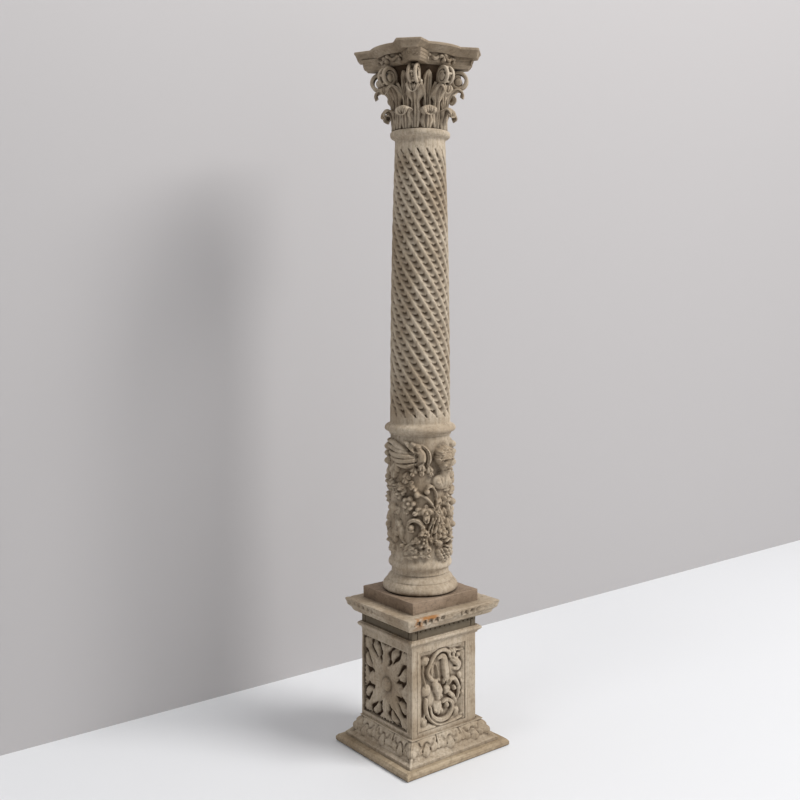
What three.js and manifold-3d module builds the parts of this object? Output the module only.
// A carved wooden column on a square pedestal, standing on z = 0.
// Millimetres, +Z up. Faces of the pedestal look along -X, -Y, +X and +Y.
import * as THREE from 'three';
import { mergeVertices } from 'three/addons/utils/BufferGeometryUtils.js';
import Module from 'manifold-3d';

const wasm = await Module();
wasm.setup();

// Gap kept between pieces that touch
const JOINT_GAP = 0.3;

// Heights where one piece ends and the next begins
const FOOT_TOP = 20;
const LEAF_MOULDING_TOP = 86;
const BEAD_BOTTOM = 358;
const BEAD_TOP = 382;
const BOX_TOP = 412;
const CORNICE_TOP = 458;
const PLINTH_TOP = 494;
const BASE_TOP = 551;
const DRUM_TOP = 983;
const SHAFT_TOP = 1938;
const CAPITAL_TOP = 2132;
const ABACUS_TOP = 2191;

// Half sides of the square pieces, along X and along Y: the pedestal isn't quite square
const FOOT = { x: 205, y: 184.5 };
const LEAF_MOULDING = { x: 177, y: 165 };
const BOX = { x: 128, y: 129 };
const BEAD = { x: 143, y: 139 };
const CORNICE = { x: 184, y: 161.5 };
const PLINTH = { x: 131, y: 126 };

// The pieces stand a little off one another's middles. Each is moved this far to the side that is
// left from the front; the foot board isn't moved.
const LEAF_MOULDING_SHIFT = 3;
const BOX_SHIFT = 12;
const BEAD_SHIFT = 9;
const CORNICE_SHIFT = 0;
const PLINTH_SHIFT = 6;
const COLUMN_SHIFT = 6;
const CAPITAL_SHIFT = 9;
const ABACUS_SHIFT = 14;

// Pockets in the box that hold the carved panels, off the middle of their faces
const POCKET_DEPTH = 16;
const POCKET_BOTTOM = 98;
const POCKET_TOP = 339;
const SCROLL_POCKET = { half: 94, along: -9 };
const ROSETTE_POCKET = { half: 111, along: -9 };

// Radii of the turned pieces
const BASE_RADIUS = 119;
const DRUM_RADIUS = 94;
const COLLAR_RADIUS = 113;
const SHAFT_RADIUS_BOTTOM = 95.5;
const SHAFT_RADIUS_TOP = 81;
const NECK_RING_RADIUS = 96;

// Spiral troughs of the shaft
const TROUGHS = 17;
const TROUGH_DEPTH = 8;
const TROUGH_BOTTOM = 1045;
const TROUGH_TOP = 1887;
const TWIST_DEGREES = 340;

// Direction that the carving is laid out from, in degrees round the column from +X towards +Y.
// A motif's own angle counts from here, and grows to the right of someone who faces the column.
const FRONT_DEGREES = 232;
const CORNER_DEGREES = -7;

const DEGREE = Math.PI / 180;

// Colours of the limed wood, by piece
const PALE = 0xb9ab93;
const WARM = 0xa8967a;
const BROWN = 0x8f7d69;

function woodMaterial(color, roughness = 0.82) {
  return new THREE.MeshStandardMaterial({ color, roughness, metalness: 0 });
}

// Solids, joins and cuts

function toSolid(geometry) {
  const bare = geometry.clone();
  bare.deleteAttribute('normal');
  bare.deleteAttribute('uv');
  const merged = mergeVertices(bare, 1e-3);
  const index = merged.index.array;
  const triangles = [];
  for (let i = 0; i < index.length; i += 3) {
    const [a, b, c] = [index[i], index[i + 1], index[i + 2]];
    if (a !== b && b !== c && c !== a) {
      triangles.push(a, b, c);
    }
  }
  return new wasm.Manifold(new wasm.Mesh({
    numProp: 3,
    vertProperties: new Float32Array(merged.attributes.position.array),
    triVerts: new Uint32Array(triangles),
  }));
}

function toGeometry(body) {
  const { vertProperties, triVerts } = body.getMesh();
  const geometry = new THREE.BufferGeometry();
  geometry.setAttribute('position', new THREE.BufferAttribute(new Float32Array(vertProperties), 3));
  geometry.setIndex(new THREE.BufferAttribute(new Uint32Array(triVerts), 1));
  geometry.computeVertexNormals();
  return geometry;
}

function joined(geometries) {
  return geometries.map(toSolid).reduce((whole, next) => whole.add(next));
}

function addPiece(group, name, geometry, color, shift = 0) {
  const aside = aroundColumn(-90, shift, 0);
  const mesh = new THREE.Mesh(geometry.translate(aside.x, aside.y, 0), woodMaterial(color));
  mesh.name = name;
  group.add(mesh);
  return mesh;
}

// Turned and square forms

// Turns a profile of [radius, height] pairs about the column's axis and passes every point to carve,
// which may move it: carve({ angle, radius, height, column, row }) gives the new [x, y, z].
function turned(profile, segments, carve) {
  const points = profile.map(([radius, height]) => new THREE.Vector2(radius, height));
  const geometry = new THREE.LatheGeometry(points, segments);
  geometry.rotateX(Math.PI / 2);
  if (carve) {
    const position = geometry.attributes.position;
    for (let i = 0; i < position.count; i += 1) {
      const column = Math.floor(i / points.length) % segments;
      const row = i % points.length;
      const [radius, height] = profile[row];
      const angle = (column / segments) * 2 * Math.PI - Math.PI / 2;
      position.setXYZ(i, ...carve({ angle, radius, height, column, row }));
    }
  }
  return geometry;
}

// A square block, from [inset, height] pairs: the inset counts inwards from the half sides, and an
// inset of MIDDLE closes the block on its axis. relief(along, row) stands out from each side, at a
// place along the side in millimetres from its middle.
const MIDDLE = Infinity;

function squared(half, profile, columnsPerSide = 1, relief = () => 0) {
  return turned(profile, 4 * columnsPerSide, ({ radius: inset, height, column, row }) => {
    if (inset === MIDDLE) {
      return [0, 0, height];
    }
    const side = Math.floor(column / columnsPerSide);
    const place = (2 * (column % columnsPerSide)) / columnsPerSide - 1;
    const [across, outwards] = side % 2 === 0 ? [half.x, half.y] : [half.y, half.x];
    const raise = relief(place * (across - inset), row) - inset;
    const turn = side * 90 * DEGREE;
    const along = place * (across + raise);
    const out = outwards + raise;
    const x = along * Math.cos(turn) + out * Math.sin(turn);
    const y = along * Math.sin(turn) - out * Math.cos(turn);
    return [x, y, height];
  });
}

// A point at an angle in degrees to the right of the front, at a radius and a height
function aroundColumn(degrees, radius, height) {
  const angle = (FRONT_DEGREES + degrees) * DEGREE;
  return new THREE.Vector3(radius * Math.cos(angle), radius * Math.sin(angle), height);
}

// Stands a motif on the round of the column: its x runs to the right, its y up and its z outwards
function standOnRound(geometry, degrees, radius, height, tilt = 0) {
  const angle = (FRONT_DEGREES + degrees) * DEGREE;
  const right = new THREE.Vector3(-Math.sin(angle), Math.cos(angle), 0);
  const out = new THREE.Vector3(Math.cos(angle), Math.sin(angle), 0);
  const up = new THREE.Vector3(0, 0, 1);
  const place = new THREE.Matrix4().makeBasis(right, up, out);
  place.setPosition(aroundColumn(degrees, radius, height));
  return geometry.clone().rotateZ(tilt * DEGREE).applyMatrix4(place);
}

// Stands a motif on a face of the pedestal: face 0 looks along -Y, and each next one is a quarter turn on
function standOnFace(geometry, face, along, depth, height, tilt = 0) {
  const turn = face * 90 * DEGREE;
  const right = new THREE.Vector3(Math.cos(turn), Math.sin(turn), 0);
  const out = new THREE.Vector3(Math.sin(turn), -Math.cos(turn), 0);
  const up = new THREE.Vector3(0, 0, 1);
  const place = new THREE.Matrix4().makeBasis(right, up, out);
  const at = new THREE.Vector3().addScaledVector(right, along).addScaledVector(out, depth);
  place.setPosition(at.x, at.y, height);
  return geometry.clone().rotateZ(tilt * DEGREE).applyMatrix4(place);
}

// Carved motifs, each flat on z = 0 with its x to the right, its y up and its z outwards

function bud(width, height, thickness, sides = 5) {
  return new THREE.SphereGeometry(1, sides, 3).scale(width / 2, height / 2, thickness);
}

// A lobed leaf that grows up from its stalk at the origin
function lobedLeaf(length, width, thickness, lobes = 2) {
  const right = [];
  const left = [];
  const steps = lobes * 2;
  for (let i = 0; i <= steps; i += 1) {
    const t = i / (steps + 1);
    const swell = Math.sin(Math.PI * Math.pow(0.12 + 0.88 * t, 0.8));
    const lobe = i % 2 === 0 ? 0.66 : 1;
    right.push(new THREE.Vector2(0.5 * width * swell * lobe, length * t));
    left.unshift(new THREE.Vector2(-0.5 * width * swell * lobe, length * t));
  }
  const tip = new THREE.Vector2(0, length);
  const outline = new THREE.Shape([...right, tip, ...left]);
  return new THREE.ExtrudeGeometry(outline, { depth: thickness, bevelEnabled: false });
}

// A round stem along a curve
function stem(curve, radius, steps, sides = 4) {
  const section = new THREE.Shape();
  for (let i = 0; i < sides; i += 1) {
    const angle = (i / sides) * 2 * Math.PI;
    const [x, y] = [radius * Math.cos(angle), radius * Math.sin(angle)];
    if (i === 0) {
      section.moveTo(x, y);
    } else {
      section.lineTo(x, y);
    }
  }
  return new THREE.ExtrudeGeometry(section, { steps, extrudePath: curve, bevelEnabled: false });
}

// Points of a flat spiral that runs inwards from its outer end
function spiralPoints(outer, inner, startDegrees, turnDegrees, count) {
  const points = [];
  for (let i = 0; i < count; i += 1) {
    const t = i / (count - 1);
    const angle = (startDegrees + turnDegrees * t) * DEGREE;
    const radius = outer + (inner - outer) * Math.pow(t, 0.8);
    points.push(new THREE.Vector2(radius * Math.cos(angle), radius * Math.sin(angle)));
  }
  return points;
}

// Pedestal

function footBoard() {
  return squared(FOOT, [
    [MIDDLE, 0],
    [2, 0],
    [0, 3],
    [0, FOOT_TOP - 7],
    [6, FOOT_TOP],
    [MIDDLE, FOOT_TOP],
  ]);
}

function block(half, low, high) {
  return new THREE.BoxGeometry(2 * half.x, 2 * half.y, high - low).translate(0, 0, (low + high) / 2);
}

// Cuts the box's room out of a moulding that is wrapped round it
function wrappedRoundBox(moulding, shift) {
  const room = block({ x: BOX.x + JOINT_GAP, y: BOX.y + JOINT_GAP }, 0, BOX_TOP);
  const aside = aroundColumn(-90, BOX_SHIFT - shift, 0);
  return toGeometry(toSolid(moulding).subtract(toSolid(room.translate(aside.x, aside.y, 0))));
}

// An ogee of broad leaf tongues; a plain fillet runs below them and a small one above
function leafMoulding() {
  const bottom = FOOT_TOP + JOINT_GAP;
  const profile = [
    [MIDDLE, bottom],
    [0, bottom],
    [0, bottom + 8],
    [5, bottom + 12],
    [15, 42],
    [19, 55],
    [26, 71],
    [33, 82],
    [35, LEAF_MOULDING_TOP],
    [MIDDLE, LEAF_MOULDING_TOP],
  ];
  const leafPeriod = 103;
  const leafRelief = 10;
  const strengths = { 3: 0.3, 4: 1, 5: 1, 6: 0.7 };
  const relief = (along, row) => {
    const strength = strengths[row] ?? 0;
    return strength * leafRelief * (Math.abs(Math.sin((Math.PI * along) / leafPeriod)) - 0.4);
  };
  return wrappedRoundBox(squared(LEAF_MOULDING, profile, 12, relief), LEAF_MOULDING_SHIFT);
}

// How far a face of the box stands from the box's middle
function faceDepth(face) {
  return face % 2 === 0 ? BOX.y : BOX.x;
}

function pocketOf(face) {
  return face % 2 === 0 ? SCROLL_POCKET : ROSETTE_POCKET;
}

// Block in the pocket of a face, between two depths below that face
function pocketBlock(face, deep, shallow, gap = 0) {
  const { half, along } = pocketOf(face);
  const height = POCKET_TOP - POCKET_BOTTOM - 2 * gap;
  const slab = new THREE.BoxGeometry(2 * (half - gap), height, deep - shallow);
  const middle = faceDepth(face) - (deep + shallow) / 2;
  return standOnFace(slab, face, along, middle, (POCKET_BOTTOM + POCKET_TOP) / 2);
}

function pedestalBox() {
  let box = toSolid(block(BOX, FOOT_TOP + JOINT_GAP, BOX_TOP));
  for (let face = 0; face < 4; face += 1) {
    box = box.subtract(toSolid(pocketBlock(face, POCKET_DEPTH, -1)));
  }
  return toGeometry(box);
}

// A panel's board with its carving, trimmed to the pocket
function panel(face, groundBelow, motifs) {
  const board = pocketBlock(face, POCKET_DEPTH - JOINT_GAP, groundBelow, JOINT_GAP);
  const room = pocketBlock(face, POCKET_DEPTH - JOINT_GAP, 0, JOINT_GAP);
  return toGeometry(joined([board, ...motifs]).intersect(toSolid(room)));
}

// A rosette of eight leaves round a tall button, on a sunk ground
function rosettePanel(face, groundBelow, lobes) {
  const { half, along } = pocketOf(face);
  const middle = (POCKET_BOTTOM + POCKET_TOP) / 2;
  const ground = faceDepth(face) - groundBelow;
  const buttonRadius = 22;
  const motifs = [];
  for (let i = 0; i < 8; i += 1) {
    const slanting = i % 2 === 1;
    const reach = half * (slanting ? 1.26 : 1.02);
    const thickness = groundBelow - (slanting ? 1 : 4);
    const leaf = lobedLeaf(reach - buttonRadius, slanting ? 78 : 62, thickness, lobes);
    leaf.translate(0, buttonRadius, -1);
    motifs.push(standOnFace(leaf, face, along, ground, middle, i * 45));
  }
  const button = bud(2 * buttonRadius + 6, 2 * buttonRadius + 16, groundBelow, 8);
  motifs.push(standOnFace(button, face, along, ground, middle));
  return panel(face, groundBelow, motifs);
}

// A scroll that climbs the panel in an S, with leaves and buds, on a nearly flush ground
function scrollPanel(face) {
  const groundBelow = 9;
  const ground = faceDepth(face) - groundBelow;
  const stemRadius = 7;
  const motifs = [];
  const scrolls = [
    { along: -4, height: 160, outer: 62, inner: 14, start: 100, turn: 520 },
    { along: -14, height: 276, outer: 46, inner: 36, start: 230, turn: -215 },
  ];
  for (const { along, height, outer, inner, start, turn } of scrolls) {
    const points = spiralPoints(outer, inner, start, turn, 11).map((p) => new THREE.Vector3(p.x, p.y, 1));
    const scroll = stem(new THREE.CatmullRomCurve3(points), stemRadius, 12);
    motifs.push(standOnFace(scroll, face, along, ground, height));
  }
  const leaves = [
    { along: 0, height: 326, length: 80, width: 40, tilt: -98 },
    { along: 2, height: 310, length: 86, width: 40, tilt: -150 },
    { along: 14, height: 262, length: 62, width: 60, tilt: 160 },
    { along: -6, height: 232, length: 58, width: 44, tilt: 140 },
    { along: 60, height: 252, length: 52, width: 38, tilt: 180 },
    { along: 62, height: 196, length: 60, width: 38, tilt: 172 },
  ];
  for (const { along, height, length, width, tilt } of leaves) {
    const leaf = lobedLeaf(length, width, groundBelow - 1, 1).translate(0, 0, -1);
    motifs.push(standOnFace(leaf, face, along, ground, height, tilt));
  }
  const buds = [
    { along: -74, height: 305 },
    { along: -70, height: 222 },
    { along: -80, height: 126 },
  ];
  for (const { along, height } of buds) {
    motifs.push(standOnFace(bud(28, 32, groundBelow), face, along, ground, height));
  }
  return panel(face, groundBelow, motifs);
}

function beadMoulding() {
  return wrappedRoundBox(squared(BEAD, [
    [MIDDLE, BEAD_BOTTOM],
    [10, BEAD_BOTTOM],
    [8, BEAD_BOTTOM + 6],
    [2, BEAD_BOTTOM + 10],
    [0, BEAD_BOTTOM + 15],
    [2, BEAD_TOP - 3],
    [7, BEAD_TOP],
    [MIDDLE, BEAD_TOP],
  ]), BEAD_SHIFT);
}

function corniceBoard() {
  const bottom = BOX_TOP + JOINT_GAP;
  return squared(CORNICE, [
    [MIDDLE, bottom],
    [30, bottom],
    [18, bottom + 7],
    [15, bottom + 17],
    [6, bottom + 23],
    [2, bottom + 33],
    [0, CORNICE_TOP - 6],
    [0, CORNICE_TOP],
    [MIDDLE, CORNICE_TOP],
  ]);
}

function plinthBlock() {
  const bottom = CORNICE_TOP + JOINT_GAP;
  return squared(PLINTH, [
    [MIDDLE, bottom],
    [0, bottom],
    [0, PLINTH_TOP - 2],
    [2, PLINTH_TOP],
    [MIDDLE, PLINTH_TOP],
  ]);
}

// Column

function turnedBase() {
  const bottom = PLINTH_TOP + JOINT_GAP;
  return turned([
    [0, bottom],
    [BASE_RADIUS - 8, bottom],
    [BASE_RADIUS, bottom + 10],
    [BASE_RADIUS - 4, bottom + 22],
    [BASE_RADIUS - 13, bottom + 31],
    [BASE_RADIUS - 16, bottom + 37],
    [BASE_RADIUS - 29, bottom + 50],
    [BASE_RADIUS - 31, BASE_TOP],
    [0, BASE_TOP],
  ], 28);
}

// Heights between which the drum widens from its hollow neck to its full radius
const DRUM_NECK_TOP = 590;
const DRUM_FLARE_TOP = 620;
const DRUM_NECK_HOLLOW = 6;

// Radius of the drum's ground, under the relief
function drumRadius(height) {
  const below = (DRUM_FLARE_TOP - height) / (DRUM_FLARE_TOP - DRUM_NECK_TOP);
  return DRUM_RADIUS - DRUM_NECK_HOLLOW * THREE.MathUtils.clamp(below, 0, 1);
}

function drumGround() {
  const bottom = BASE_TOP + JOINT_GAP;
  const profile = [
    [0, bottom],
    [90, bottom],
    [98, bottom + 9],
    [100, bottom + 20],
    [96, bottom + 30],
    [88, bottom + 38],
    [DRUM_RADIUS, DRUM_FLARE_TOP],
    [DRUM_RADIUS, DRUM_TOP],
    [0, DRUM_TOP],
  ];
  return turned(profile, 20);
}

// A vine on the drum, through [degrees, height] places
function vine(places, radius, steps, lift = 5) {
  const points = places.map(([degrees, height]) => {
    return aroundColumn(degrees, drumRadius(height) + lift, height);
  });
  return stem(new THREE.CatmullRomCurve3(points), radius, steps);
}

// A scroll on the drum that curls about a place
function drumScroll(degrees, height, size, startDegrees, turnDegrees, radius = 7) {
  const perDegree = DRUM_RADIUS * DEGREE;
  const places = spiralPoints(size, size * 0.3, startDegrees, turnDegrees, 9)
    .map((p) => [degrees + p.x / perDegree, height + p.y]);
  return vine(places, radius, 7);
}

function onDrum(geometry, degrees, height, tilt = 0, lift = -3) {
  return standOnRound(geometry, degrees, drumRadius(height) + lift, height, tilt);
}

// Head and shoulders of a youth with thick curly hair
function bust(degrees, chinHeight) {
  const headHeight = 66;
  const headWidth = 44;
  const middle = chinHeight + headHeight / 2;
  const face = new THREE.SphereGeometry(1, 7, 5).scale(headWidth / 2, headHeight / 2, 26);
  const hair = new THREE.SphereGeometry(1, 8, 5).scale(headWidth * 0.8, headHeight * 0.52, 26);
  const nose = new THREE.ConeGeometry(5, 18, 3).translate(0, 0, 24);
  const neck = new THREE.CylinderGeometry(12, 15, 34, 6);
  const chest = new THREE.SphereGeometry(1, 6, 4).scale(34, 24, 22);
  return [
    onDrum(face, degrees - 2, middle - 2, -4, 8),
    onDrum(hair, degrees + 1, middle + 14, -4, 0),
    onDrum(nose, degrees - 2, middle - 4, -4, 8),
    onDrum(neck, degrees - 2, chinHeight - 8, 0, 3),
    onDrum(chest, degrees - 4, chinHeight - 32, 0, -3),
  ];
}

// A bundle of drapery that hangs across, gathered by a knot, with its loose end hanging beyond
function swag() {
  return [
    vine([[-62, 934], [-30, 922], [-2, 924]], 8, 4, 7),
    vine([[-60, 920], [-36, 904], [-2, 914]], 9, 4, 8),
    vine([[-48, 898], [-24, 890], [0, 898]], 9, 4, 8),
    vine([[-72, 957], [-44, 948], [-24, 938]], 9, 3),
    vine([[-26, 966], [-15, 940], [-4, 934]], 7, 3, 7),
    onDrum(bud(26, 56, 20), -1, 920),
    vine([[5, 944], [12, 918], [12, 880]], 9, 4),
    onDrum(bud(26, 20, 16), -8, 958),
  ];
}

// A bunch of berries that hangs down to a point
function berryBunch(degrees, height) {
  const parts = [];
  const rows = [3, 1];
  rows.forEach((count, row) => {
    for (let i = 0; i < count; i += 1) {
      const across = (i - (count - 1) / 2) * 11;
      parts.push(onDrum(bud(22, 22, 17), degrees + across, height - row * 15));
    }
  });
  return parts;
}

function drumFrontMotifs() {
  const leaf = lobedLeaf(52, 36, 14, 1);
  const longLeaf = lobedLeaf(80, 28, 15, 1);
  const flower = bud(32, 32, 21);
  const smallBud = bud(20, 28, 19);
  return [
    ...swag(),
    ...bust(46, 868),
    drumScroll(-16, 690, 34, 250, 400),
    vine([[-4, 806], [16, 786], [27, 749], [21, 697], [23, 640]], 7, 7),
    vine([[12, 800], [19, 828], [28, 790], [29, 765]], 6, 4),
    onDrum(longLeaf, -80, 822, -84),
    onDrum(flower, -42, 806),
    onDrum(smallBud, -16, 827, 30),
    onDrum(smallBud, -7, 806, 20),
    onDrum(bud(30, 36, 20), -27, 766),
    onDrum(leaf, 10, 778, 180),
    onDrum(smallBud, -15, 702),
    onDrum(leaf, -46, 730, 160),
    onDrum(flower, 5, 668),
    onDrum(leaf, -34, 612, -62),
    onDrum(bud(26, 26, 19), 12, 636),
    onDrum(bud(22, 40, 17), -66, 738),
    onDrum(leaf, -74, 640, 8),
    onDrum(longLeaf, 34, 765, 184),
    onDrum(flower, 54, 784),
    onDrum(leaf, 66, 796, 50),
    onDrum(leaf, 66, 768, 170),
    onDrum(bud(26, 26, 19), 84, 698),
    onDrum(bud(30, 26, 18), 36, 838),
    onDrum(flower, 40, 664),
    onDrum(smallBud, 62, 650),
    ...berryBunch(50, 616),
    onDrum(smallBud, -84, 944),
    onDrum(smallBud, -84, 896),
  ];
}

// The hidden half: the same scrolls and leaves, plainer and in a regular order
function drumBackMotifs() {
  const parts = [];
  const leaf = lobedLeaf(66, 44, 14, 1);
  const flower = bud(36, 36, 18);
  for (const degrees of [118, 158, 202, 242]) {
    parts.push(drumScroll(degrees, 672, 34, 250, 330));
    parts.push(onDrum(leaf, degrees + 6, 770, 10));
    parts.push(onDrum(flower, degrees, 892));
  }
  return parts;
}

function carvedDrum() {
  return toGeometry(joined([drumGround(), ...drumFrontMotifs(), ...drumBackMotifs()]));
}

// Radius of the shaft between collar and neck ring, which swells a little low down
function shaftRadius(height) {
  const t = THREE.MathUtils.clamp((height - TROUGH_BOTTOM) / (TROUGH_TOP - TROUGH_BOTTOM), 0, 1);
  return SHAFT_RADIUS_BOTTOM - (SHAFT_RADIUS_BOTTOM - SHAFT_RADIUS_TOP) * Math.pow(t, 2.2);
}

function spiralShaft() {
  const bottom = DRUM_TOP + JOINT_GAP;
  const spiralRows = 12;
  const profile = [
    [0, bottom],
    [98, bottom],
    [98, bottom + 7],
    [COLLAR_RADIUS, bottom + 16],
    [COLLAR_RADIUS - 3, bottom + 28],
    [SHAFT_RADIUS_BOTTOM, bottom + 34],
  ];
  for (let i = 0; i <= spiralRows; i += 1) {
    const height = TROUGH_BOTTOM + ((TROUGH_TOP - TROUGH_BOTTOM) * i) / spiralRows;
    profile.push([shaftRadius(height), height]);
  }
  profile.push(
    [SHAFT_RADIUS_TOP, SHAFT_TOP - 25],
    [NECK_RING_RADIUS, SHAFT_TOP - 16],
    [NECK_RING_RADIUS - 2, SHAFT_TOP],
    [0, SHAFT_TOP],
  );
  const pointsPerTrough = 3;
  return turned(profile, TROUGHS * pointsPerTrough, ({ angle, radius, height, column }) => {
    const inSpiral = height > TROUGH_BOTTOM + 1 && height < TROUGH_TOP - 1;
    const inTrough = column % pointsPerTrough === 0;
    const reach = radius - (inSpiral && inTrough ? TROUGH_DEPTH : 0);
    const t = THREE.MathUtils.clamp((height - TROUGH_BOTTOM) / (TROUGH_TOP - TROUGH_BOTTOM), 0, 1);
    const turn = angle - t * TWIST_DEGREES * DEGREE;
    return [reach * Math.cos(turn), reach * Math.sin(turn), height];
  });
}

function bell() {
  const bottom = SHAFT_TOP + JOINT_GAP;
  return turned([
    [0, bottom],
    [84, bottom],
    [82, 1975],
    [83, 2035],
    [92, 2096],
    [106, CAPITAL_TOP],
    [0, CAPITAL_TOP],
  ], 12);
}

// A leaf that climbs the bell and rolls outwards at its tip, along [radius, height] places
function curledLeaf(route, width, thickness) {
  const rows = 4;
  const cup = 6;
  const curve = new THREE.SplineCurve(route.map(([radius, height]) => new THREE.Vector2(radius, height)));
  const geometry = new THREE.BoxGeometry(1, 1, 1, 2, rows, 1);
  const position = geometry.attributes.position;
  for (let i = 0; i < position.count; i += 1) {
    const t = position.getY(i) + 0.5;
    const place = curve.getPoint(t);
    const tangent = curve.getTangent(t);
    const side = 2 * position.getX(i);
    const narrowing = 1 - 0.24 * t * t;
    const across = 0.5 * side * width * narrowing;
    const depth = (position.getZ(i) - 0.5) * thickness - Math.abs(side) * cup;
    position.setXYZ(i, across, place.y - tangent.x * depth, place.x + tangent.y * depth);
  }
  return geometry;
}

// Points of an arc, with its angles in degrees
function arc(radius, from, to, count, centre = new THREE.Vector2(0, 0)) {
  const points = [];
  for (let i = 0; i < count; i += 1) {
    const angle = (from + ((to - from) * i) / (count - 1)) * DEGREE;
    points.push(new THREE.Vector2(centre.x + radius * Math.cos(angle), centre.y + radius * Math.sin(angle)));
  }
  return points;
}

// A ribbon that curls outwards over its leaf, drawn from the side and as wide as the ribbon
function radialScroll(width) {
  const outer = 30;
  const eye = 12;
  const band = 11;
  const eyeCentre = new THREE.Vector2(-1, -4);
  const outline = new THREE.Shape([
    ...arc(outer, 215, -100, 7),
    ...arc(eye, -120, -380, 4, eyeCentre),
    ...arc(outer - band, -35, 200, 4),
  ]);
  const ribbon = new THREE.ExtrudeGeometry(outline, { depth: width, bevelEnabled: false });
  return ribbon.translate(0, 0, -width / 2).rotateY(-Math.PI / 2);
}

function capital() {
  const lowerRoute = [[84, 1940], [86, 1966], [91, 1990], [105, 2003], [113, 1993]];
  const upperRoute = [[84, 1986], [87, 2024], [96, 2054], [117, 2072], [133, 2054]];
  const leafThickness = 14;
  const scrollRadius = 124;
  const scrollHeight = 2102;
  const ribbonWidth = 26;
  const frontLean = -7;
  const parts = [bell()];
  for (let i = 0; i < 8; i += 1) {
    const degrees = CORNER_DEGREES + i * 45;
    const lean = i === 0 ? frontLean : 0;
    parts.push(standOnRound(curledLeaf(lowerRoute, 64, leafThickness), degrees + 22.5, 0, 0));
    parts.push(standOnRound(curledLeaf(upperRoute, 62, leafThickness), degrees + lean, 0, 0));
    parts.push(standOnRound(radialScroll(ribbonWidth), degrees + lean, scrollRadius, scrollHeight));
  }
  return toGeometry(joined(parts));
}

// A round plate with a block standing out towards each corner, its edge sloping in below. A block's
// sides spread inwards: it is wider by twice its spread at the plate's middle than at its end.
function hornedTier(tier) {
  const round = turned([
    [0, tier.low],
    [tier.radius - tier.slopeIn, tier.low],
    [tier.radius, tier.slopeTop],
    [tier.radius, tier.high],
    [0, tier.high],
  ], 20);
  const parts = [round];
  for (const turn of [45, 135]) {
    const bar = new THREE.BoxGeometry(2, 1, 1, 2, 1, 2);
    const position = bar.attributes.position;
    for (let k = 0; k < position.count; k += 1) {
      const atFoot = position.getZ(k) < -0.25;
      const atTop = position.getZ(k) > 0.25;
      const slopeHeight = atFoot ? tier.low : tier.slopeTop;
      const reach = tier.hornReach - (atFoot ? tier.endSlopeIn : 0);
      const endWidth = tier.hornWidth - (atFoot ? tier.sideSlopeIn : 0);
      const width = endWidth + 2 * tier.hornSpread * (1 - Math.abs(position.getX(k)));
      position.setXYZ(
        k,
        position.getX(k) * reach,
        position.getY(k) * width,
        atTop ? tier.high : slopeHeight,
      );
    }
    parts.push(bar.rotateZ(turn * DEGREE));
  }
  return joined(parts);
}

function trefoil(degrees, radius, height) {
  return [-120, 0, 120].map((turn) => {
    const petal = bud(18, 24, 12, 4).translate(0, -10, 0).rotateZ(turn * DEGREE);
    return standOnRound(petal, degrees, radius, height);
  });
}

// The top plate over a smaller tier, with a trefoil and a bud on each side
function abacus() {
  const middle = ABACUS_TOP - 26;
  const flowerHeight = 2156;
  const flowerRadius = 119;
  const upper = hornedTier({
    radius: 155,
    slopeIn: 24,
    hornReach: 198,
    hornWidth: 76,
    hornSpread: 77,
    endSlopeIn: 8,
    sideSlopeIn: 32,
    low: middle,
    slopeTop: ABACUS_TOP - 9,
    high: ABACUS_TOP,
  });
  const lower = hornedTier({
    radius: 122,
    slopeIn: 13,
    hornReach: 178,
    hornWidth: 40,
    hornSpread: 80,
    endSlopeIn: 16,
    sideSlopeIn: 10,
    low: CAPITAL_TOP + JOINT_GAP,
    slopeTop: middle - 6,
    high: middle + 1,
  });
  const flowers = [];
  for (let i = 0; i < 4; i += 1) {
    const degrees = CORNER_DEGREES + 45 + i * 90;
    flowers.push(...trefoil(degrees, flowerRadius, flowerHeight));
    flowers.push(standOnRound(bud(26, 26, 13), degrees - 25, flowerRadius, flowerHeight));
  }
  return toGeometry(upper.add(lower).add(joined(flowers)));
}

function column() {
  const group = new THREE.Group();
  addPiece(group, 'foot_board', footBoard(), WARM);
  addPiece(group, 'leaf_moulding', leafMoulding(), PALE, LEAF_MOULDING_SHIFT);
  addPiece(group, 'pedestal_box', pedestalBox(), PALE, BOX_SHIFT);
  addPiece(group, 'scroll_panel', scrollPanel(0), PALE, BOX_SHIFT);
  addPiece(group, 'back_panel_x', rosettePanel(1, 12, 1), PALE, BOX_SHIFT);
  addPiece(group, 'back_panel_y', rosettePanel(2, 12, 1), PALE, BOX_SHIFT);
  addPiece(group, 'rosette_panel', rosettePanel(3, 14, 2), PALE, BOX_SHIFT);
  addPiece(group, 'bead_moulding', beadMoulding(), PALE, BEAD_SHIFT);
  addPiece(group, 'cornice_board', corniceBoard(), PALE, CORNICE_SHIFT);
  addPiece(group, 'plinth_block', plinthBlock(), BROWN, PLINTH_SHIFT);
  addPiece(group, 'turned_base', turnedBase(), PALE, COLUMN_SHIFT);
  addPiece(group, 'carved_drum', carvedDrum(), PALE, COLUMN_SHIFT);
  addPiece(group, 'spiral_shaft', spiralShaft(), PALE, COLUMN_SHIFT);
  addPiece(group, 'capital', capital(), PALE, CAPITAL_SHIFT);
  addPiece(group, 'abacus', abacus(), PALE, ABACUS_SHIFT);
  return group;
}

export default column();
